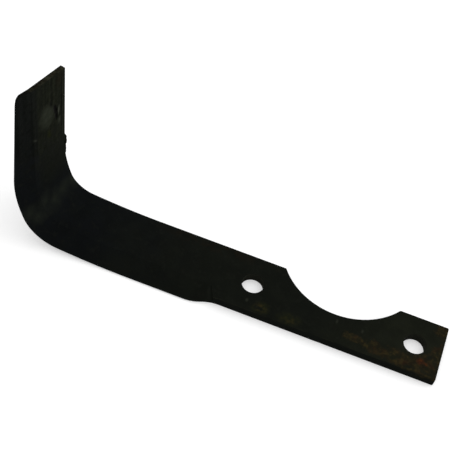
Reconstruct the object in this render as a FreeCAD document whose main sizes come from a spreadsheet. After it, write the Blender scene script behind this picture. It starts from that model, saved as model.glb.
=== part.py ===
import FreeCAD, Part
import os
import Sketcher

# Rotary tiller blade: one forged flat bar, bent up at one end into a cutting tip.
# Frame: origin midway between the two bolt holes on the face that rests on the rotor flange,
# X along the bar towards its square end, Y towards the notched edge, Z up the way the tip stands.
# Lengths in millimetres, angles in degrees.

os.makedirs("parts", exist_ok=True)
doc = FreeCAD.newDocument("TillerBlade")
V = FreeCAD.Vector

# ---------------------------------------------------------------- driving dimensions
SIZES = [
    ("bar_width", 38.6, "width of the flat bar"),
    ("bar_thickness", 6.4, "thickness of the flat bar"),
    ("bolt_spacing", 101.6, "distance between the two bolt holes"),
    ("bolt_hole_dia", 13.5, "bolt hole diameter"),
    ("end_margin", 17.0, "from the outer bolt hole to the square end"),
    ("notch_radius", 44.0, "half-round notch for the rotor tube, its floor on the hole line"),
    ("notch_offset", 0.8, "from the middle of the holes to the middle of the notch"),
    ("edge_standout", 4.75, "how far the drawn-out cutting edge stands proud of the bar"),
    ("edge_land", 1.2, "thickness left at the cutting edge"),
    ("bevel_width", 12.35, "bevel measured across the bar, from its crest to the cutting edge"),
    ("step_start", 65.2, "where the drawn-out edge begins, from the middle of the holes"),
    ("step_length", 21.0, "length of the soft step into the drawn-out edge"),
    ("bevel_lead", 8.0, "from the beginning of the step to the beginning of the bevel's crest"),
    ("bevel_slant_angle", 28.0, "slant of the bevel's end wall"),
    ("bend_start", 119.7, "where the bend begins, from the middle of the holes"),
    ("bend_skew_angle", 7.3, "slant of the bend line across the bar"),
    ("lead_radius", 370.0, "inside radius of the gentle lead-in"),
    ("lead_angle", 7.0, "angle of the lead-in"),
    ("bend_radius", 17.0, "inside radius of the main bend"),
    ("bend_angle", 68.3, "angle of the main bend"),
    ("ease_radius", 99.0, "inside radius where the bend eases out"),
    ("ease_angle", 21.2, "angle where the bend eases out"),
    ("tip_length", 71.4, "straight part of the tip along the middle of the bar"),
    ("thinning_angle", 2.9, "lean of the tip's inside face, which is drawn thinner towards the end"),
    ("flat_cut_angle", 25.0, "slant of the end cut across the flat"),
    ("bevel_cut_angle", 30.5, "slant of the end cut across the bevel"),
    ("corner_wear", 1.5, "how much the cutting edge falls back at its very corner"),
    ("corner_run", 9.0, "length over which it falls back"),
    ("corner_round", 2.2, "rounded corner where the end cut meets the cutting edge"),
    ("end_round", 1.0, "upright corners of the square end and of the notch"),
    ("edge_round", 0.6, "rolled edges of the bar"),
    ("rim_round", 0.4, "broken edges of the holes"),
]
sheet = doc.addObject("Spreadsheet::Sheet", "Sizes")
sheet.Label = "Sizes"
for row, (alias, number, meaning) in enumerate(SIZES, start=1):
    sheet.set("A%d" % row, meaning)
    sheet.set("B%d" % row, str(number))
    sheet.setAlias("B%d" % row, alias)
doc.recompute()


def size(name):
    """The sheet cell of that name, as text for an expression."""
    return "Sizes." + name


def value(expression):
    """Number an expression over the sheet comes to."""
    found = sheet.evalExpression(expression)
    return float(getattr(found, "Value", found))


# ---------------------------------------------------------------- sizes worked out from the sheet
HALF_WIDTH = "(" + size("bar_width") + " / 2)"
CUT_EDGE = "(" + HALF_WIDTH + " + " + size("edge_standout") + ")"
CREST = "(" + CUT_EDGE + " - " + size("bevel_width") + ")"
THICK = size("bar_thickness")
SKEW = size("bend_skew_angle")
BEVEL_DROP = "(" + THICK + " - " + size("edge_land") + ")"
BEVEL_ANGLE = "atan(" + BEVEL_DROP + " / " + size("bevel_width") + ")"
NOTCH_DEPTH = "(" + size("notch_radius") + " - " + HALF_WIDTH + ")"
NOTCH_CHORD = "sqrt(" + size("notch_radius") + " ^ 2 - " + NOTCH_DEPTH + " ^ 2)"
HOLE_X = "(" + size("bolt_spacing") + " / 2)"
END_X = "(" + HOLE_X + " + " + size("end_margin") + ")"
STEP_SQUARES = "((" + size("step_length") + " / 2) ^ 2 + (" + size("edge_standout") + " / 2) ^ 2)"
STEP_RADIUS = STEP_SQUARES + " / " + size("edge_standout")

# the three arcs of the bend, each: inside radius, its angle, angle turned before it
BEFORE_EASE = "(" + size("lead_angle") + " + " + size("bend_angle") + ")"
ARCS = [
    ("Lead", size("lead_radius"), size("lead_angle"), "0"),
    ("Main", size("bend_radius"), size("bend_angle"), size("lead_angle")),
    ("Ease", size("ease_radius"), size("ease_angle"), BEFORE_EASE),
]
FULL_TURN = "(" + size("lead_angle") + " + " + size("bend_angle") + " + " + size("ease_angle") + ")"

half_width = value(HALF_WIDTH)
thick = value(THICK)
end_x = value(END_X)
chord = value(NOTCH_CHORD)
notch_middle = value(size("notch_offset"))
hole_radius = value(size("bolt_hole_dia")) / 2

body = doc.addObject("PartDesign::Body", "TillerBlade")
body.Label = "tiller_blade"


def origin_plane(role):
    """One of the body's own three origin planes."""
    for feature in body.Origin.OriginFeatures:
        if feature.Role == role:
            return feature
    raise RuntimeError("no origin plane " + role)


def new_sketch(name, role, offset=None):
    """Sketch lying on an origin plane, moved by an expression if one is given."""
    sketch = body.newObject("Sketcher::SketchObject", name)
    sketch.AttachmentSupport = [(origin_plane(role), "")]
    sketch.MapMode = "FlatFace"
    if offset:
        sketch.setExpression("AttachmentOffset", offset)
    return sketch


def hold_point(sketch, geometry, end, across, along, tag):
    """Tie one end of a line or arc to two expressions, measured from the sketch's origin."""
    for kind, expression in (("DistanceX", across), ("DistanceY", along)):
        number = value(expression)
        if abs(number) < 1e-9:
            axis = -2 if kind == "DistanceX" else -1
            sketch.addConstraint(Sketcher.Constraint("PointOnObject", geometry, end, axis))
            continue
        index = sketch.addConstraint(Sketcher.Constraint(kind, -1, 1, geometry, end, number))
        sketch.renameConstraint(index, tag + kind[-1])
        sketch.setExpression("Constraints." + tag + kind[-1], expression)


def near_end(arcs, number):
    """Which end of a side lies on its own corner: an arc always runs counter-clockwise."""
    return 2 if number in arcs and arcs[number][2] < 0 else 1


def far_end(arcs, number):
    """Which end of a side lies on the next corner."""
    return 1 if number in arcs and arcs[number][2] < 0 else 2


def outline(sketch, corners, arcs=None):
    """Closed outline through corners (pairs of expressions).

    arcs: {corner number: (centre pair, radius expression, direction)}: the side leaving that corner
    is an arc about the centre, direction +1 counter-clockwise.
    """
    arcs = arcs or {}
    points = []
    for across, along in corners:
        points.append(V(value(across), value(along), 0))
    count = len(points)
    for number in range(count):
        first = points[number]
        second = points[(number + 1) % count]
        if number in arcs:
            centre, radius, turn = arcs[number]
            middle = V(value(centre[0]), value(centre[1]), 0)
            circle = Part.Circle(middle, V(0, 0, 1), value(radius))
            begin, finish = (first, second) if turn > 0 else (second, first)
            side = Part.ArcOfCircle(circle, circle.parameter(begin), circle.parameter(finish))
        else:
            side = Part.LineSegment(first, second)
        sketch.addGeometry(side, False)
    for number in range(count):
        following = (number + 1) % count
        here = far_end(arcs, number)
        there = near_end(arcs, following)
        sketch.addConstraint(Sketcher.Constraint("Coincident", number, here, following, there))
    for number in range(count):
        across, along = corners[number]
        hold_point(sketch, number, near_end(arcs, number), across, along, "p%d" % number)
    for number in arcs:
        radius = arcs[number][1]
        index = sketch.addConstraint(Sketcher.Constraint("Radius", number, value(radius)))
        sketch.renameConstraint(index, "r%d" % number)
        sketch.setExpression("Constraints.r%d" % number, radius)


def must_remove(before, after, expected=None):
    """A cut has to take some metal off, and exactly as much as expected where that is known."""
    removed = before.Shape.Volume - after.Shape.Volume
    if removed <= 0 or (expected and abs(removed - expected) > 0.001 * expected):
        raise RuntimeError("%s takes off %.2f cubic mm" % (after.Name, removed))


# ---------------------------------------------------------------- shank, flat on the rotor flange
# plan outline: square end, notch for the rotor tube, slanted bend line, drawn-out edge and its step
NEAR = "(-1 * " + HALF_WIDTH + ")"
CUT_Y = "(-1 * " + CUT_EDGE + ")"
BEND_X = "(-1 * " + size("bend_start") + ")"
STEP_X = "(-1 * " + size("step_start") + ")"
STEP_END_X = "(" + STEP_X + " - " + size("step_length") + ")"
STEP_MID_X = "(" + STEP_X + " - " + size("step_length") + " / 2)"
STEP_MID_Y = "(" + NEAR + " - " + size("edge_standout") + " / 2)"
plan = new_sketch("ShankOutline", "XY_Plane")
outline(
    plan,
    [
        (END_X, NEAR),
        (END_X, HALF_WIDTH),
        (size("notch_offset") + " + " + NOTCH_CHORD, HALF_WIDTH),
        (size("notch_offset") + " - " + NOTCH_CHORD, HALF_WIDTH),
        (BEND_X + " + " + HALF_WIDTH + " * tan(" + SKEW + ")", HALF_WIDTH),
        (BEND_X + " - " + CUT_EDGE + " * tan(" + SKEW + ")", CUT_Y),
        (STEP_END_X, CUT_Y),
        (STEP_MID_X, STEP_MID_Y),
        (STEP_X, NEAR),
    ],
    {
        2: ((size("notch_offset"), size("notch_radius")), size("notch_radius"), -1),
        6: ((STEP_END_X, CUT_Y + " + " + STEP_RADIUS), STEP_RADIUS, 1),
        7: ((STEP_X, NEAR + " - " + STEP_RADIUS), STEP_RADIUS, -1),
    },
)
doc.recompute()
shank = body.newObject("PartDesign::Pad", "Shank")
shank.Profile = plan
shank.setExpression("Length", THICK)
doc.recompute()

# bolt holes, punched straight through either side of the notch
hole_sketch = new_sketch("BoltHoles", "XY_Plane")
for number, sign in ((0, "1"), (1, "-1")):
    across = sign + " * " + HOLE_X
    hole_sketch.addGeometry(Part.Circle(V(value(across), 0, 0), V(0, 0, 1), hole_radius), False)
    hold_point(hole_sketch, number, 3, across, "0", "c%d" % number)
    index = hole_sketch.addConstraint(Sketcher.Constraint("Diameter", number, value(size("bolt_hole_dia"))))
    hole_sketch.renameConstraint(index, "dia%d" % number)
    hole_sketch.setExpression("Constraints.dia%d" % number, size("bolt_hole_dia"))
doc.recompute()
bolt_holes = body.newObject("PartDesign::Pocket", "BoltHolePunch")
bolt_holes.Profile = hole_sketch
bolt_holes.Type = 1
bolt_holes.Reversed = True
doc.recompute()
must_remove(shank, bolt_holes, value("2 * pi * (" + size("bolt_hole_dia") + " / 2) ^ 2 * " + THICK))

# bevel on the flat part: everything above the sloping plane from the crest down to the cutting edge
bevel_place = (
    "placement(vector(0; -1 * " + CREST + "; " + THICK + "); rotation(vector(1; 0; 0); " + BEVEL_ANGLE + "))"
)
bevel_sketch = new_sketch("BevelFlat", "XY_Plane", bevel_place)
BEVEL_X = "(" + STEP_X + " - " + size("bevel_lead") + ")"
BEVEL_REACH = "(" + size("bevel_width") + " * 1.5)"
BEVEL_OVER = "(" + size("edge_standout") + " * 0.5)"
outline(
    bevel_sketch,
    [
        (BEVEL_X + " - " + BEVEL_OVER + " * tan(" + size("bevel_slant_angle") + ")", BEVEL_OVER),
        (BEND_X + " - " + size("bar_width"), BEVEL_OVER),
        (BEND_X + " - " + size("bar_width"), "-1 * " + BEVEL_REACH),
        (BEVEL_X + " + " + BEVEL_REACH + " * tan(" + size("bevel_slant_angle") + ")", "-1 * " + BEVEL_REACH),
    ],
)
doc.recompute()
bevel = body.newObject("PartDesign::Pocket", "BevelFlatCut")
bevel.Profile = bevel_sketch
bevel.Type = 1
bevel.Reversed = True
doc.recompute()
must_remove(bolt_holes, bevel)

# ---------------------------------------------------------------- bend, three arcs about a slanted line
# The cross-section is drawn on planes through the bend line; each arc carries it round its own centre
# while it slides along the bend line, so the edges of the bar stay straight in the unbent bar.
def travel(radius, angle):
    """Arc length on the inside face."""
    return "(" + radius + " * " + angle + " * pi / 180)"


def bend_point(arcs):
    """Where the middle of the inside face has got to after some arcs: x, y, z and angle turned."""
    run = "0"
    rise = "0"
    slide = "0"
    turned = "0"
    for name, radius, angle, before_it in arcs:
        after_it = "(" + before_it + " + " + angle + ")"
        run = run + " + " + radius + " * (sin(" + after_it + ") - sin(" + before_it + "))"
        rise = rise + " + " + radius + " * (cos(" + before_it + ") - cos(" + after_it + "))"
        slide = slide + " + " + travel(radius, angle) + " * tan(" + SKEW + ")"
        turned = after_it
    x = BEND_X + " - (" + run + ") * cos(" + SKEW + ") - (" + slide + ") * sin(" + SKEW + ")"
    y = "(" + run + ") * sin(" + SKEW + ") - (" + slide + ") * cos(" + SKEW + ")"
    z = THICK + " + " + rise
    return x, y, z, turned


def section_place(arcs, further=("0", "0", "0")):
    """Plane of the cross-section after some arcs, x along the bend line, y through the thickness."""
    x, y, z, turned = bend_point(arcs)
    x = x + " + " + further[0]
    y = y + " + " + further[1]
    z = z + " + " + further[2]
    place = "vector(" + y + "; " + z + "; " + x + ")"
    turn_line = "rotation(vector(0; 1; 0); -1 * " + SKEW + ")"
    turn_bend = "rotation(vector(1; 0; 0); " + turned + ")"
    return "placement(" + place + "; " + turn_line + " * " + turn_bend + ")"


def face_place(arcs, square_up):
    """Plane on the inside face after some arcs, x across, y along; square_up turns x square to the bar."""
    x, y, z, turned = bend_point(arcs)
    turn_line = "rotation(vector(0; 0; 1); 90 - " + SKEW + ")"
    turn_bend = "rotation(vector(1; 0; 0); " + turned + ")"
    turn_square = "rotation(vector(0; 0; 1); " + square_up + ")"
    place = "vector(" + x + "; " + y + "; " + z + ")"
    return "placement(" + place + "; " + turn_line + " * " + turn_bend + " * " + turn_square + ")"


def section_sketch(name, place, lowered="0"):
    """Cross-section of the bar with its bevel, widened for the slant of the bend line."""
    sketch = new_sketch(name, "YZ_Plane", place)
    widen = " / cos(" + SKEW + ")"
    outline(
        sketch,
        [
            (HALF_WIDTH + widen, "-1 * " + THICK),
            (HALF_WIDTH + widen, "-1 * " + lowered),
            ("-1 * " + CREST + widen, "-1 * " + lowered),
            (CUT_Y + widen, "-1 * " + BEVEL_DROP),
            (CUT_Y + widen, "-1 * " + THICK),
        ],
    )
    return sketch


for count, (name, radius, angle, before_it) in enumerate(ARCS):
    section = section_sketch("Section" + name, section_place(ARCS[:count]))
    centre_line = section.addGeometry(
        Part.LineSegment(V(-1 * half_width, value(radius), 0), V(half_width, value(radius), 0)), True
    )
    hold_point(section, centre_line, 1, NEAR, radius, "axis_a")
    hold_point(section, centre_line, 2, HALF_WIDTH, radius, "axis_b")
    doc.recompute()
    arc = body.newObject("PartDesign::AdditiveHelix", "Bend" + name)
    arc.Profile = section
    arc.ReferenceAxis = (section, ["Axis0"])
    arc.Mode = 2
    arc.setExpression("Height", travel(radius, angle) + " * tan(" + SKEW + ")")
    arc.setExpression("Turns", angle + " / 360")
    arc.Angle = 0
    arc.LeftHanded = True
    arc.Reversed = True
    doc.recompute()

# ---------------------------------------------------------------- tip, straight on along the bar
# drawn out thinner on its inside while the bevel keeps its width and the cutting edge its thickness
TURN = "(" + FULL_TURN + ")"
TIP_RUN = "(" + size("tip_length") + " + " + HALF_WIDTH + ")"
along_x = "-1 * (cos(" + TURN + ") * cos(" + SKEW + ") ^ 2 + sin(" + SKEW + ") ^ 2)"
along_y = "(cos(" + TURN + ") - 1) * sin(" + SKEW + ") * cos(" + SKEW + ")"
along_z = "sin(" + TURN + ") * cos(" + SKEW + ")"
beyond_tip = [TIP_RUN + " * (" + part + ")" for part in (along_x, along_y, along_z)]
THINNED = "(" + TIP_RUN + " * cos(" + SKEW + ") * tan(" + size("thinning_angle") + "))"
tip_section = section_sketch("SectionTip", section_place(ARCS))
end_section = section_sketch("SectionBeyond", section_place(ARCS, beyond_tip), THINNED)
doc.recompute()
tip = body.newObject("PartDesign::AdditiveLoft", "Tip")
tip.Profile = tip_section
tip.Sections = [end_section]
tip.Ruled = True
doc.recompute()

# the thinning starts smoothly, on a plane that touches the inside of the last arc
last_arc = (ARCS[2][0], ARCS[2][1], "(" + ARCS[2][2] + " - " + size("thinning_angle") + ")", ARCS[2][3])
thin_sketch = new_sketch("TipInside", "XY_Plane", face_place(ARCS[:2] + [last_arc], "0"))
outline(
    thin_sketch,
    [
        ("-1 * " + size("bar_width"), "0"),
        (size("bar_width"), "0"),
        (size("bar_width"), TIP_RUN + " + " + HALF_WIDTH),
        ("-1 * " + size("bar_width"), TIP_RUN + " + " + HALF_WIDTH),
    ],
)
doc.recompute()
thin_cut = body.newObject("PartDesign::Pocket", "TipThinning")
thin_cut.Profile = thin_sketch
thin_cut.setExpression("Length", THICK)
thin_cut.Reversed = True
doc.recompute()
must_remove(tip, thin_cut)

# slanted end cut, drawn in the plane of the tip: x across the bar, y along it
tip_place = face_place(ARCS, SKEW)
FLAT_SLOPE = "tan(" + size("flat_cut_angle") + ")"
BEVEL_SLOPE = "tan(" + size("bevel_cut_angle") + ")"
CREST_END = "(" + size("tip_length") + " + " + CREST + " * " + FLAT_SLOPE + ")"
POINT_RUN = "(" + size("bevel_width") + " - " + size("corner_wear") + ")"
POINT_END = "(" + CREST_END + " + " + POINT_RUN + " * " + BEVEL_SLOPE + ")"
ASIDE = "(" + HALF_WIDTH + " + " + size("bar_width") + ")"
BEYOND = "(" + size("tip_length") + " + 2 * " + size("bar_width") + ")"
end_sketch = new_sketch("TipEnd", "XY_Plane", tip_place)
outline(
    end_sketch,
    [
        (ASIDE, size("tip_length") + " - " + ASIDE + " * " + FLAT_SLOPE),
        (ASIDE, BEYOND),
        ("-1 * " + ASIDE, BEYOND),
        ("-1 * " + ASIDE, POINT_END + " - 2 * " + size("corner_run")),
        (CUT_Y + " - " + size("corner_wear"), POINT_END + " - 2 * " + size("corner_run")),
        (CUT_Y + " + " + size("corner_wear"), POINT_END),
        ("-1 * " + CREST, CREST_END),
    ],
)
doc.recompute()
end_cut = body.newObject("PartDesign::Pocket", "TipEndCut")
end_cut.Profile = end_sketch
end_cut.Type = 1
end_cut.Midplane = True
doc.recompute()
must_remove(thin_cut, end_cut)

# ---------------------------------------------------------------- rounded corners and rolled edges
def ends(edge):
    """Both end points of an edge."""
    return edge.valueAt(edge.FirstParameter), edge.valueAt(edge.LastParameter)


def pick_edges(feature, test):
    """Names of the edges of a feature for which test(edge, first end, second end, middle) holds."""
    names = []
    for number, edge in enumerate(feature.Shape.Edges, start=1):
        first, second = ends(edge)
        middle = edge.valueAt((edge.FirstParameter + edge.LastParameter) / 2)
        if test(edge, first, second, middle):
            names.append("Edge%d" % number)
    return names


def round_edges(name, base, names, radius):
    """Fillet on named edges of the feature before it."""
    feature = body.newObject("PartDesign::Fillet", name)
    feature.Base = (base, names)
    feature.setExpression("Radius", radius)
    doc.recompute()
    if len(feature.Shape.Faces) < len(base.Shape.Faces) + len(names):
        raise RuntimeError(name + " has fewer faces than edges to round")
    return feature


def is_upright_corner(edge, first, second, middle):
    """The four upright edges: two at the square end, two where the notch runs out."""
    upright = abs(first.x - second.x) < 0.001 and abs(first.y - second.y) < 0.001
    return upright and (abs(middle.x - end_x) < 0.01 or abs(abs(middle.x - notch_middle) - chord) < 0.01)


point_foot = end_sketch.Placement.multVec(V(value(CUT_Y + " + " + size("corner_wear")), value(POINT_END), 0))
inward = end_sketch.Placement.Rotation.multVec(V(0, 0, 1))


def is_point_corner(edge, first, second, middle):
    """The short edge through the thickness at the very point of the tip."""
    return (middle - point_foot).cross(inward).Length < 0.001


upright = pick_edges(end_cut, is_upright_corner)
corners = round_edges("UprightCorners", end_cut, upright, size("end_round"))
point = round_edges("TipCorner", corners, pick_edges(corners, is_point_corner), size("corner_round"))


def is_hole_rim(edge, first, second, middle):
    """Rims of the two bolt holes."""
    return isinstance(edge.Curve, Part.Circle) and abs(edge.Curve.Radius - hole_radius) < 0.001


def is_rolled_edge(edge, first, second, middle):
    """Top and bottom edges round the shank. They run on smoothly up the back of the tip."""
    level = abs(first.z - second.z) < 0.000001
    on_face = abs(middle.z) < 0.001 or abs(middle.z - thick) < 0.001
    back = abs(middle.y - half_width) < 0.001
    around = middle.x > value(STEP_X) or back
    return level and on_face and around and not is_hole_rim(edge, first, second, middle)


rolled = round_edges("RolledEdges", point, pick_edges(point, is_rolled_edge), size("edge_round"))
rims = round_edges("HoleRims", rolled, pick_edges(rolled, is_hole_rim), size("rim_round"))

# ---------------------------------------------------------------- check and write
body.Tip = rims
doc.recompute()
for thing in doc.Objects:
    if "Invalid" in thing.State or "Error" in thing.State:
        raise RuntimeError("bad state: " + thing.Name)
blade = body.Shape
if blade.isNull() or not blade.isValid() or len(blade.Solids) != 1:
    raise RuntimeError("blade is not one valid solid")
print("blade", len(blade.Faces), "faces", round(blade.Volume, 1), blade.BoundBox)
blade.exportStep("parts/tiller_blade.step")
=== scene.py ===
import math

import bmesh
import bpy
from mathutils import Matrix, Vector, noise


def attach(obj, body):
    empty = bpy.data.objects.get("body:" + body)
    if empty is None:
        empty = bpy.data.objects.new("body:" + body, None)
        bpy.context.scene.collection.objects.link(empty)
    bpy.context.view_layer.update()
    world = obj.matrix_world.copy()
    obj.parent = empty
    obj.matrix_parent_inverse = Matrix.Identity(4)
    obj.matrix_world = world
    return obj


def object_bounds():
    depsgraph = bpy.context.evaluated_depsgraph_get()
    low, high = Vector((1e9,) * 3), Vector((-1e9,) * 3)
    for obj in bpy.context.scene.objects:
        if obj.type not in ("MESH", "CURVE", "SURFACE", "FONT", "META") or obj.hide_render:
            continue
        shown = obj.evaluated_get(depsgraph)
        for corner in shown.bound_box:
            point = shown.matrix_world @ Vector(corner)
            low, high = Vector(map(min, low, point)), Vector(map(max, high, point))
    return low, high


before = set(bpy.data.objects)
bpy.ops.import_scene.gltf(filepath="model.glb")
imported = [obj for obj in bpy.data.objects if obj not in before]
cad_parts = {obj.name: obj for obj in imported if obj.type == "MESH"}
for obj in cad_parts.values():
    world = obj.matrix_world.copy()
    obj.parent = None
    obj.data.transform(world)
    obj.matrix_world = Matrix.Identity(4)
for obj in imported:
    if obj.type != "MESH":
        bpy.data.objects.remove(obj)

# Rotary tiller blade lying on its mounting face with the tip standing up.
# X runs along the bar to its square end, Y to the notched edge, Z up the tip.
# The scene is in metres. Sizes and places below are in millimetres unless they say otherwise.

cad_low, cad_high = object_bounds()
MM = 0.001
BAR_TOP = 6.4
HOLE_MIDDLE = 50.8
TIP_LEAN = 8.0
INSIDE_OF_TIP = -181.0


def colour(code):
    """Linear RGBA of an sRGB hex colour."""
    channels = []
    for start in (1, 3, 5):
        c = int(code[start:start + 2], 16) / 255
        channels.append(c / 12.92 if c <= 0.04045 else ((c + 0.055) / 1.055) ** 2.4)
    return (*channels, 1.0)


def add(tree, kind, inputs=None, **settings):
    """Adds a node; inputs holds plain values and other nodes' outputs."""
    made = tree.nodes.new(kind)
    for name, setting in settings.items():
        setattr(made, name, setting)
    for socket, source in (inputs or {}).items():
        if isinstance(source, bpy.types.NodeSocket):
            tree.links.new(source, made.inputs[socket])
        else:
            made.inputs[socket].default_value = source
    return made


def new_material(name):
    """An empty node material."""
    material = bpy.data.materials.new(name)
    material.use_nodes = True
    material.node_tree.nodes.clear()
    return material, material.node_tree


def strongest(tree, values):
    """The largest of several values at each place, and never below 0."""
    most = 0.0
    for value in values:
        most = add(tree, "ShaderNodeMath", {0: most, 1: value}, operation="MAXIMUM").outputs[0]
    return most


# ---------------------------------------------------------------- finish of the blade
# Spring steel, rolled, cut and forged hot, under one thin coat of matt black paint that soil has
# dulled: nearly black, without gloss. It drifts from a cold black at the bend to an olive black at
# the square end. The bend carries a painted sheen, a paler band for the light its curve catches.
# Soil has rubbed the inside of the tip along its length, the sheared end shows tan steel, and rust
# comes through along the near side of the square end.
COLD_BLACK = "#0e1011"
GREEN_BLACK = "#121410"
OLIVE_BLACK = "#181a13"
# painted shade: the black of the bar's steep sides, darker than its olive top
PAINTED_SHADE_ON_SIDES = "#131512"
DARK_SCALE = "#090a09"
PALE_SCALE = "#20221c"
# painted sheen: the paler colour laid across the bend for the light its curve catches
PAINTED_BEND_SHEEN = "#1e211b"
TIP_BLACK = "#0e1011"
TIP_OLIVE = "#11130e"
TIP_GREEN = "#111310"
RUBBED_TIP = "#10130b"
STREAK_DARK = "#040503"
PALE_CRUMBS = "#1f2118"
RUBBED_BACK = "#24251f"
STREAK_PALE = "#191b12"
BARE_PATCH = "#21241c"
EARTH_FILM = "#1a140d"
MOSS_FILM = "#151808"
GOUGE_BLACK = "#030302"
BRIGHT_STEEL = "#363830"
SHEARED_DARK = "#0d0c08"
SHEARED_STEEL = "#1c1b13"
SHEARED_BRIGHT = "#2d2e23"
# painted light: paler colour for the walls of the bolt holes, which lie in shade
HOLE_WALLS_PAINTED_LIGHT = "#2b2c25"
# painted light: paler colour for the wall of the bevel's step, which lies in shade
STEP_WALL_PAINTED_LIGHT = "#404138"
# painted light: paler colour that takes out the shadow at the foot of the step
STEP_FOOT_PAINTED_LIGHT = "#161814"
# painted highlight: a pale colour for the rounded near edge
PAINTED_EDGE_HIGHLIGHT = "#24251c"
OLD_RUST = "#221c12"
YELLOW_RUST = "#2f2816"
RED_RUST = "#22140d"
MOSS_RUST = "#121710"
FRESH_RUST = "#2e1a11"
ORANGE_RUST = "#42260f"
MOSS_STAIN = "#1a1c0f"

# Cloudy patterns: size, the cloud's level up to which it is bare, the level from which it is full,
# and how finely its edge breaks up. Mill scale, crumbs and grain are finer on a real blade and are
# drawn as coarse as they need to show.
PATTERNS = {
    "wander": (28, 0.25, 0.75, 3.0),
    "waves": (14, 0.2, 0.8, 2.0),
    "sheen_and_patch_cloud": (9, 0.0, 0.75, 3.0),
    "dark_scale": (8, 0.35, 0.60, 4.0),
    "pale_scale": (4, 0.50, 0.75, 3.0),
    "dark_crumbs": (3.4, 0.52, 0.68, 2.0),
    "grain": (1.6, 0.30, 0.70, 2.0),
    "rust_cloud": (6, 0.30, 0.70, 4.0),
    "rust_stain": (4.5, 0.45, 0.62, 2.0),
    "rust_crumbs": (3.0, 0.42, 0.72, 3.0),
}

# Streaks along the tip, drawn coarse too: how far apart, how long, then bare and full as above.
STREAKS = {
    "pale_streak": (1.8, 40, 0.42, 0.70),
    "dark_streak": (2.6, 60, 0.45, 0.65),
}

# Marks on the flat of the bar: middle x, y, half length, half width, turn in degrees.
BAR_MARKS = {
    "rust": [
        (17, -12.0, 12, 4.5, -4),
        (31, -13.0, 16, 6.5, -5),
        (46, -13.5, 18, 8.0, 0),
        (60, -12.5, 16, 9.5, 0),
        (67, -2.0, 10, 11.0, 20),
        (66, 14.5, 8, 8.5, 0),
        (56, -18.3, 26, 1.8, 0),
    ],
    "fresh_rust": [(56.6, -10.6, 3.4, 3.0, 10), (59.6, -11.6, 2.2, 1.8, 0)],
    "stains": [(-41.3, -14.8, 7.0, 5.5, 0), (-23.4, -15.2, 9.0, 5.5, 10)],
    "flecks": [(-50.4, -12.8, 1.2, 1.8, 0), (3.6, -4.6, 1.0, 2.0, 0), (19.6, -5.0, 1.0, 1.8, 0)],
    "earth_on_bar": [(-80, 17.0, 50, 7.0, 0)],
}

# Marks on the inside of the tip: middle y, z, half width, half length, turn in degrees.
TIP_MARKS = {
    "patch": [(-9.2, 97.0, 8.0, 13.0, 25)],
    "moss": [(-4.8, 78.0, 2.4, 8.0, 18)],
    "earth_on_tip": [(0.5, 119.0, 6.0, 9.0, 10)],
    "gouges": [(-0.7, 95.0, 1.9, 7.0, 22), (0.9, 90.0, 1.9, 6.0, 8)],
    "gouge_lip": [(2.9, 92.0, 1.2, 5.2, 4)],
    "gouge_tail": [(4.9, 82.0, 1.8, 4.5, 6)],
    "chip": [(-6.2, 104.3, 1.6, 4.5, 24)],
    "far_groove": [(5.2, 97.0, 0.9, 30.0, 8)],
    "far_lip": [(7.1, 90.0, 0.8, 42.0, 8)],
    "scratch": [(-19.6, 87.0, 1.0, 4.0, 45)],
}
BAR_MARK_DEPTH = 4
TIP_MARK_DEPTH = 9

# Marks that go round corners: middle, reach along X, Y and Z, turn about Z in degrees.
ROUND_MARKS = {
    # painted sheen: paler patches across the bend where its curve catches the light
    "bend_sheen_painted": [
        ((-176.0, 17.5, 18.5), (8, 8, 7), 0),
        ((-178.0, 8.0, 19.5), (8, 10, 7), 0),
        ((-179.0, -3.0, 20.0), (9, 12, 9), 0),
        ((-182.0, -10.0, 24.0), (9, 11, 9), 0),
        ((-186.5, -20.5, 22.5), (9, 10, 9), 0),
        ((-182.0, -17.5, 18.0), (8, 9, 6), 0),
    ],
    # painted light: the walls of the bolt holes are painted paler, for light that reaches into them
    "in_holes": [
        ((-HOLE_MIDDLE, 0, BAR_TOP / 2), (14, 14, 14), 0),
        ((HOLE_MIDDLE, 0, BAR_TOP / 2), (14, 14, 14), 0),
    ],
    # painted light: the wall of the bevel's step is painted paler, as if lit
    "step_wall": [((-70, -17, 4), (12, 12, 12), 0)],
    # painted light: the foot of the step is painted paler to take out the shadow the step casts
    "step_foot": [((-72.2, -16.2, 4.4), (7, 2.2, 3), -66)],
}

# How far a cloudy pattern moves the drift of the black and the height that soil rubs, and what
# share it adds to the rust.
DRIFT_WANDER = 50
RUB_WANDER = 20
RUST_SHARE = 0.5

# Areas that fade in: what is measured, where it starts and where it is full. A face is measured
# by how squarely it points along an axis, from -1 to 1.
FADING_AREAS = {
    "green": ("drift", -150 * MM, -50 * MM),
    "olive": ("drift", 0, 90 * MM),
    "past_bend": ("height", 22 * MM, 45 * MM),
    "up_tip": ("rubbed height", 65 * MM, 95 * MM),
    "off_edge": ("across tip", -13 * MM, -4 * MM),
    "off_bevel": ("across tip", -12 * MM, 6 * MM),
    "inside": ("points along X", 0.5, 0.8),
    "outside": ("points along X", -0.5, -0.8),
    "far_side": ("points along Y", 0.15, 0.45),
    "turned": ("points along Y", -0.50, -0.65),
    "not_side": ("points along Y", -0.97, -0.85),
    "top_side": ("points along Z", 0.1, 0.5),
    "end_face": ("points along Z", 0.4, 0.7),
    "rust_film": ("rusting", 0.45, 0.95),
}

# Areas with a sharp bound: what is measured, on which side of the bound, and the bound.
BOUNDED_AREAS = {
    "bend_half": ("length", "LESS_THAN", -100 * MM),
    "bolted_half": ("length", "GREATER_THAN", -100 * MM),
    "at_end": ("height", "GREATER_THAN", 85 * MM),
    "steep": ("points along Z", "LESS_THAN", 0.25),
    "faces_back": ("points along X", "LESS_THAN", -0.3),
    "on_rust": ("rust", "GREATER_THAN", 0.02),
}

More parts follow.
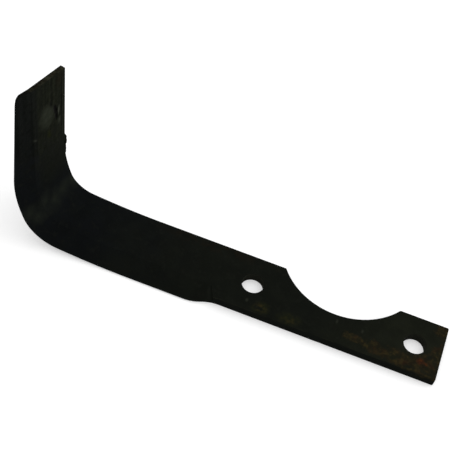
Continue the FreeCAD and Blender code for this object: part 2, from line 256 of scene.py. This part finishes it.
# Coats from the paint upwards: the areas that a coat keeps to, how strongly it covers, its colour.
COATS = [
    (("green", "top_side"), 1.0, GREEN_BLACK),
    (("olive", "top_side"), 1.0, OLIVE_BLACK),
    # painted shade: the steep sides of the bolted half take a black of their own, with the drift kept to the
    # faces above, so they stay darker than the top
    (("steep", "bolted_half"), 1.0, PAINTED_SHADE_ON_SIDES),
    (("past_bend", "inside"), 0.9, TIP_BLACK),
    (("past_bend", "inside", "off_bevel"), 0.9, TIP_OLIVE),
    (("up_tip", "inside"), 0.6, TIP_GREEN),
    (("dark_scale",), 0.30, DARK_SCALE),
    (("pale_scale",), 0.20, PALE_SCALE),
    # painted light: the walls of the bolt holes are painted paler, as if lit
    (("in_holes", "steep"), 1.2, HOLE_WALLS_PAINTED_LIGHT),
    # painted light: the wall of the bevel's step is painted paler, as if lit
    (("step_wall", "faces_back"), 3.0, STEP_WALL_PAINTED_LIGHT),
    # painted light: the foot of the step is painted paler to take out the step's shadow
    (("step_foot",), 1.8, STEP_FOOT_PAINTED_LIGHT),
    # painted sheen: the bend is painted paler where its curve catches the light
    (("bend_sheen_painted", "sheen_and_patch_cloud"), 0.9, PAINTED_BEND_SHEEN),
    (("up_tip", "inside", "off_bevel"), 0.8, RUBBED_TIP),
    (("up_tip", "inside", "off_bevel", "pale_streak"), 0.9, STREAK_PALE),
    (("up_tip", "inside", "off_bevel", "rust_crumbs"), 0.5, PALE_CRUMBS),
    (("up_tip", "inside", "dark_crumbs"), 0.45, STREAK_DARK),
    (("up_tip", "outside", "pale_streak"), 0.3, RUBBED_BACK),
    (("up_tip", "inside", "dark_streak"), 0.45, STREAK_DARK),
    (("earth_on_tip", "inside"), 0.6, EARTH_FILM),
    (("earth_on_bar", "rust_stain"), 0.5, EARTH_FILM),
    (("moss", "inside", "rust_cloud"), 1.4, MOSS_FILM),
    (("patch", "inside", "sheen_and_patch_cloud"), 3.0, BARE_PATCH),
    (("patch", "inside", "rust_crumbs"), 0.35, BRIGHT_STEEL),
    (("gouges", "inside"), 2.5, GOUGE_BLACK),
    (("chip", "inside"), 1.1, STREAK_DARK),
    (("far_groove", "inside"), 2.0, STREAK_DARK),
    (("far_lip", "inside", "rust_cloud"), 1.2, BARE_PATCH),
    (("far_side", "past_bend"), 0.8, STREAK_DARK),
    (("gouge_lip", "inside"), 1.5, BRIGHT_STEEL),
    (("gouge_tail", "inside"), 0.7, BRIGHT_STEEL),
    (("scratch", "inside"), 0.6, BRIGHT_STEEL),
    (("end_face", "at_end", "off_edge"), 1.0, SHEARED_STEEL),
    (("end_face", "at_end", "dark_scale"), 0.8, SHEARED_DARK),
    (("end_face", "at_end", "off_edge", "rust_crumbs"), 0.8, SHEARED_BRIGHT),
    (("flecks",), 1.5, PALE_SCALE),
    # painted highlight: a thin pale line along the rounded near edge
    (("turned", "not_side", "highlit_edge", "rust_cloud"), 0.8, PAINTED_EDGE_HIGHLIGHT),
    (("rust_film",), 0.9, OLD_RUST),
    (("rust_film", "rust_stain"), 0.6, RED_RUST),
    (("rust_film", "dark_scale"), 0.7, MOSS_RUST),
    (("rust_film", "rust_crumbs", "on_rust"), 0.75, YELLOW_RUST),
    (("stains", "rust_cloud"), 1.8, MOSS_STAIN),
    (("stains", "stains", "rust_crumbs"), 1.2, YELLOW_RUST),
    (("fresh_rust", "rust_cloud"), 1.8, FRESH_RUST),
    (("fresh_rust", "fresh_rust", "rust_crumbs"), 3.0, ORANGE_RUST),
]

# Relief of the surface: the areas it keeps to and how far it stands out.
RELIEF = [
    (("waves",), 0.20),
    (("pale_scale",), 0.08),
    (("dark_scale",), -0.10),
    (("grain",), 0.03),
    (("rust_crumbs", "rust_film"), 0.10),
    (("pale_streak", "up_tip"), 0.06),
    (("gouges", "inside"), -0.8),
]

# Matt paint that soil has dulled all over, duller still in its grain and on rust, and without
# more than a trace of shine.
PAINT_ROUGHNESS = 0.80
GRAIN_ROUGHNESS = 0.10
RUST_ROUGHNESS = 0.10
PAINT_SHINE = 0.01


def mark(tree, place, middle, reach, turn):
    """Round mark, 1 at its middle and 0 at its edge; turn in degrees about X, Y and Z."""
    local = add(tree, "ShaderNodeMapping", {
        "Vector": place,
        "Location": [v * MM for v in middle],
        "Rotation": [math.radians(v) for v in turn],
        "Scale": [v * MM for v in reach],
    }, vector_type="TEXTURE").outputs[0]
    return add(tree, "ShaderNodeTexGradient", {"Vector": local}, gradient_type="SPHERICAL").outputs["Fac"]


def on_bar(tree, place, x, y, along, across, turn):
    """A mark on the flat of the bar."""
    return mark(tree, place, (x, y, BAR_TOP), (along, across, BAR_MARK_DEPTH), (0, 0, turn))


def on_tip(tree, place, y, z, across, along, turn):
    """A mark on the inside of the tip."""
    return mark(tree, place, (INSIDE_OF_TIP, y, z), (TIP_MARK_DEPTH, across, along), (turn, 0, 0))


def mottling(tree, place, size, bare, full, detail):
    """Cloudy patches of this size: 0 below bare, 1 above full."""
    cloud = add(tree, "ShaderNodeTexNoise", {
        "Vector": place, "Scale": 1 / (size * MM), "Detail": detail, "Roughness": 0.6,
    }).outputs["Fac"]
    return add(tree, "ShaderNodeMapRange", {
        "Value": cloud, "From Min": bare, "From Max": full,
    }, interpolation_type="SMOOTHSTEP").outputs["Result"]


def streaking(tree, place, apart, long, bare, full):
    """Streaks that run along the tip, as soil rubs them."""
    drawn_out = add(tree, "ShaderNodeMapping", {
        "Vector": place,
        "Rotation": (math.radians(TIP_LEAN), 0, 0),
        "Scale": (long / apart, 1, long / apart),
    }, vector_type="TEXTURE").outputs[0]
    return mottling(tree, drawn_out, apart, bare, full, 2.0)


def patterns_and_marks(tree, place):
    """The patterns and marks by name, each from 0 to 1."""
    areas = {}
    for name, pattern in PATTERNS.items():
        areas[name] = mottling(tree, place, *pattern)
    for name, streak in STREAKS.items():
        areas[name] = streaking(tree, place, *streak)
    for name, marks in BAR_MARKS.items():
        areas[name] = strongest(tree, [on_bar(tree, place, *one) for one in marks])
    for name, marks in TIP_MARKS.items():
        areas[name] = strongest(tree, [on_tip(tree, place, *one) for one in marks])
    for name, marks in ROUND_MARKS.items():
        areas[name] = strongest(tree, [
            mark(tree, place, middle, reach, (0, 0, turn)) for middle, reach, turn in marks])
    return areas


def measures_of(tree, place, normal, areas):
    """What the bounds of the areas are measured by."""
    at = add(tree, "ShaderNodeSeparateXYZ", {0: place}).outputs
    points = add(tree, "ShaderNodeSeparateXYZ", {0: normal}).outputs
    lean = math.radians(TIP_LEAN)
    across_tip = add(tree, "ShaderNodeVectorMath", {
        0: place, 1: (0, math.cos(lean), math.sin(lean)),
    }, operation="DOT_PRODUCT").outputs["Value"]
    measures = {
        "length": at["X"],
        "height": at["Z"],
        "across tip": across_tip,
        "points along X": points["X"],
        "points along Y": points["Y"],
        "points along Z": points["Z"],
        "rust": areas["rust"],
    }
    for name, pattern, wander, middle in [
        ("drift", "wander", DRIFT_WANDER * MM, at["X"]),
        ("rubbed height", "dark_scale", RUB_WANDER * MM, at["Z"]),
        ("rusting", "rust_cloud", RUST_SHARE, areas["rust"]),
    ]:
        measures[name] = add(tree, "ShaderNodeMath", {
            0: areas[pattern], 1: wander, 2: middle,
        }, operation="MULTIPLY_ADD").outputs[0]
    return measures


def named_areas(tree, place, normal):
    """Every area that a coat or the relief can keep to, each from 0 to 1."""
    areas = patterns_and_marks(tree, place)
    measures = measures_of(tree, place, normal, areas)
    for name, (measure, start, full) in FADING_AREAS.items():
        areas[name] = add(tree, "ShaderNodeMapRange", {
            "Value": measures[measure], "From Min": start, "From Max": full,
        }, interpolation_type="SMOOTHSTEP").outputs["Result"]
    for name, (measure, side, bound) in BOUNDED_AREAS.items():
        areas[name] = add(tree, "ShaderNodeMath", {0: measures[measure], 1: bound}, operation=side).outputs[0]
    # the near edge carries a painted highlight along the top of the bar, and all the way round where it bends
    areas["highlit_edge"] = strongest(tree, [areas["top_side"], areas["bend_half"]])
    return areas


def coats_of_colour(tree, areas):
    """The bare black with every coat laid over it."""
    skin = colour(COLD_BLACK)
    for (first, *others), strength, code in COATS:
        cover = areas[first]
        for limit in [*(areas[name] for name in others), strength]:
            cover = add(tree, "ShaderNodeMath", {
                0: cover, 1: limit,
            }, operation="MULTIPLY", use_clamp=True).outputs[0]
        skin = add(tree, "ShaderNodeMix", {0: cover, 6: skin, 7: colour(code)}, data_type="RGBA").outputs[2]
    return skin


def surface_relief(tree, areas):
    """Forging waves, scale pits, grain, streaks and the gouge as one height."""
    height = 0.0
    for (first, *others), depth in RELIEF:
        shape = areas[first]
        for name in others:
            shape = add(tree, "ShaderNodeMath", {0: shape, 1: areas[name]}, operation="MULTIPLY").outputs[0]
        height = add(tree, "ShaderNodeMath", {
            0: shape, 1: depth * MM, 2: height,
        }, operation="MULTIPLY_ADD").outputs[0]
    return add(tree, "ShaderNodeBump", {"Height": height, "Strength": 1.0, "Distance": 1.0}).outputs["Normal"]


def blade_paint():
    """The finish of the whole blade."""
    material, tree = new_material("black_painted_forged_steel")
    on_part = add(tree, "ShaderNodeTexCoord").outputs
    areas = named_areas(tree, on_part["Object"], on_part["Normal"])
    roughness = PAINT_ROUGHNESS
    for name, more in [("grain", GRAIN_ROUGHNESS), ("rust_film", RUST_ROUGHNESS)]:
        roughness = add(tree, "ShaderNodeMath", {
            0: areas[name], 1: more, 2: roughness,
        }, operation="MULTIPLY_ADD").outputs[0]
    surface = add(tree, "ShaderNodeBsdfPrincipled", {
        "Base Color": coats_of_colour(tree, areas),
        "Metallic": 0.0,
        "Roughness": roughness,
        "Specular IOR Level": PAINT_SHINE,
        "Normal": surface_relief(tree, areas),
    })
    add(tree, "ShaderNodeOutputMaterial", {"Surface": surface.outputs["BSDF"]})
    return material


paint = blade_paint()
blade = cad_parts["tiller_blade"]
blade.data.materials.clear()
blade.data.materials.append(paint)


# ---------------------------------------------------------------- burr on the tip's far edge
# Lumps of the burr: middle, then how far each reaches along X, Y and Z. The grain is the size of
# its raggedness, and ragged is how far that pushes its skin about.
BURR_LUMPS = [
    ((-181.2, 15.4, 51.5), (0.7, 0.7, 10.5)),
    ((-181.0, 15.5, 53.0), (1.0, 1.4, 2.6)),
    ((-181.2, 15.5, 56.6), (0.8, 0.9, 1.8)),
]
BURR_GRAIN = 1.5
BURR_RAGGED = 0.3
BURR_SEED = 1


def edge_burr():
    """Small ragged burr that forging left on the far edge of the tip."""
    shape = bmesh.new()
    for middle, reach in BURR_LUMPS:
        lump = bmesh.ops.create_icosphere(shape, subdivisions=3, radius=MM)["verts"]
        bmesh.ops.scale(shape, verts=lump, vec=reach)
        bmesh.ops.rotate(shape, verts=lump, matrix=Matrix.Rotation(math.radians(TIP_LEAN), 3, "X"))
        bmesh.ops.translate(shape, verts=lump, vec=Vector(middle) * MM)
    noise.seed_set(BURR_SEED)
    for vertex in shape.verts:
        vertex.co += noise.noise_vector(vertex.co / (BURR_GRAIN * MM)) * BURR_RAGGED * MM
    mesh = bpy.data.meshes.new("edge_burr")
    shape.to_mesh(mesh)
    shape.free()
    mesh.materials.append(paint)
    made = bpy.data.objects.new("edge_burr", mesh)
    bpy.context.scene.collection.objects.link(made)
    return made


burr = edge_burr()
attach(burr, "root")


# ---------------------------------------------------------------- floor, light and camera
WHITE = "#ffffff"
FLOOR_PAPER = "#dcdcdc"
FLOOR_LIFT = 0.4
FLOOR_SIZE = 6.0  # metres
SKY_LIGHT = 0.78


def seen_rays(tree):
    """1 for the rays that show a thing to the eye, straight on or in gloss, and 0 for those that light."""
    ray = add(tree, "ShaderNodeLightPath").outputs
    return strongest(tree, [
        ray[kind] for kind in ("Is Camera Ray", "Is Glossy Ray", "Is Transmission Ray")])


def pale_floor():
    """Matt white paper: without gloss, so it takes a soft shadow; to the eye it is lifted to white."""
    material, tree = new_material("matt_white_paper")
    paper = add(tree, "ShaderNodeBsdfDiffuse", {"Color": colour(FLOOR_PAPER)}).outputs[0]
    lift = add(tree, "ShaderNodeEmission", {"Color": colour(WHITE), "Strength": FLOOR_LIFT}).outputs[0]
    lifted = add(tree, "ShaderNodeMixShader", {0: seen_rays(tree), 2: lift}).outputs[0]
    both = add(tree, "ShaderNodeAddShader", {0: paper, 1: lifted}).outputs[0]
    add(tree, "ShaderNodeOutputMaterial", {"Surface": both})
    return material


def lay_floor():
    """Flat floor under the lowest point of the blade."""
    shape = bmesh.new()
    bmesh.ops.create_grid(shape, x_segments=1, y_segments=1, size=FLOOR_SIZE / 2)
    bmesh.ops.translate(shape, verts=shape.verts, vec=(0, 0, cad_low.z))
    mesh = bpy.data.meshes.new("floor")
    shape.to_mesh(mesh)
    shape.free()
    mesh.materials.append(pale_floor())
    floor = bpy.data.objects.new("floor", mesh)
    bpy.context.scene.collection.objects.link(floor)
    return floor


def white_sky():
    """Even light from all round, which shows as plain white behind the blade."""
    world = bpy.data.worlds.new("studio")
    world.use_nodes = True
    tree = world.node_tree
    tree.nodes.clear()
    strength = add(tree, "ShaderNodeMath", {
        0: seen_rays(tree), 1: 1.0 - SKY_LIGHT, 2: SKY_LIGHT,
    }, operation="MULTIPLY_ADD").outputs[0]
    sky = add(tree, "ShaderNodeBackground", {"Color": colour(WHITE), "Strength": strength}).outputs[0]
    add(tree, "ShaderNodeOutputWorld", {"Surface": sky})
    return world


def soft_box(name, azimuth, elevation, distance, width, height, watts):
    """Area lamp facing the blade. Azimuth 0 is +X and 90 is +Y, in degrees; lengths in metres."""
    target = (cad_low + cad_high) / 2
    a = math.radians(azimuth)
    e = math.radians(elevation)
    away = Vector((math.cos(a) * math.cos(e), math.sin(a) * math.cos(e), math.sin(e)))
    lamp = bpy.data.lights.new(name, "AREA")
    lamp.shape = "RECTANGLE"
    lamp.size = width
    lamp.size_y = height
    lamp.energy = watts
    holder = bpy.data.objects.new(name, lamp)
    holder.location = target + away * distance
    holder.rotation_euler = away.to_track_quat("Z", "Y").to_euler()
    bpy.context.scene.collection.objects.link(holder)


# The camera looks down on the blade from its near side, about 52 degrees above the floor.
CAMERA_PLACE = (-11.0, -373.5, 531.2)
CAMERA_RIGHT = (0.9334, 0.3319, 0.1363)
CAMERA_DOWN = (0.3441, -0.7204, -0.6022)
LENS = 85.4
SENSOR_WIDTH = 36.0
NEAREST_SEEN = 0.01  # metres
FARTHEST_SEEN = 20.0  # metres


def place_camera():
    """Camera at its place, turned by its right and down directions."""
    data = bpy.data.cameras.new("camera")
    data.sensor_width = SENSOR_WIDTH
    data.lens = LENS
    data.clip_start = NEAREST_SEEN
    data.clip_end = FARTHEST_SEEN
    camera = bpy.data.objects.new("camera", data)
    right = Vector(CAMERA_RIGHT).normalized()
    back = right.cross(-Vector(CAMERA_DOWN)).normalized()
    up = back.cross(right)
    turn = Matrix((right, up, back)).transposed().to_4x4()
    camera.matrix_world = Matrix.Translation(Vector(CAMERA_PLACE) * MM) @ turn
    bpy.context.scene.collection.objects.link(camera)
    return camera


lay_floor()
bpy.context.scene.world = white_sky()
soft_box("key", azimuth=60, elevation=60, distance=1.4, width=1.6, height=1.6, watts=7.0)
soft_box("side_low", azimuth=22, elevation=10, distance=1.1, width=0.6, height=0.4, watts=3.0)
bpy.context.scene.camera = place_camera()
bpy.context.scene.view_settings.view_transform = "Standard"
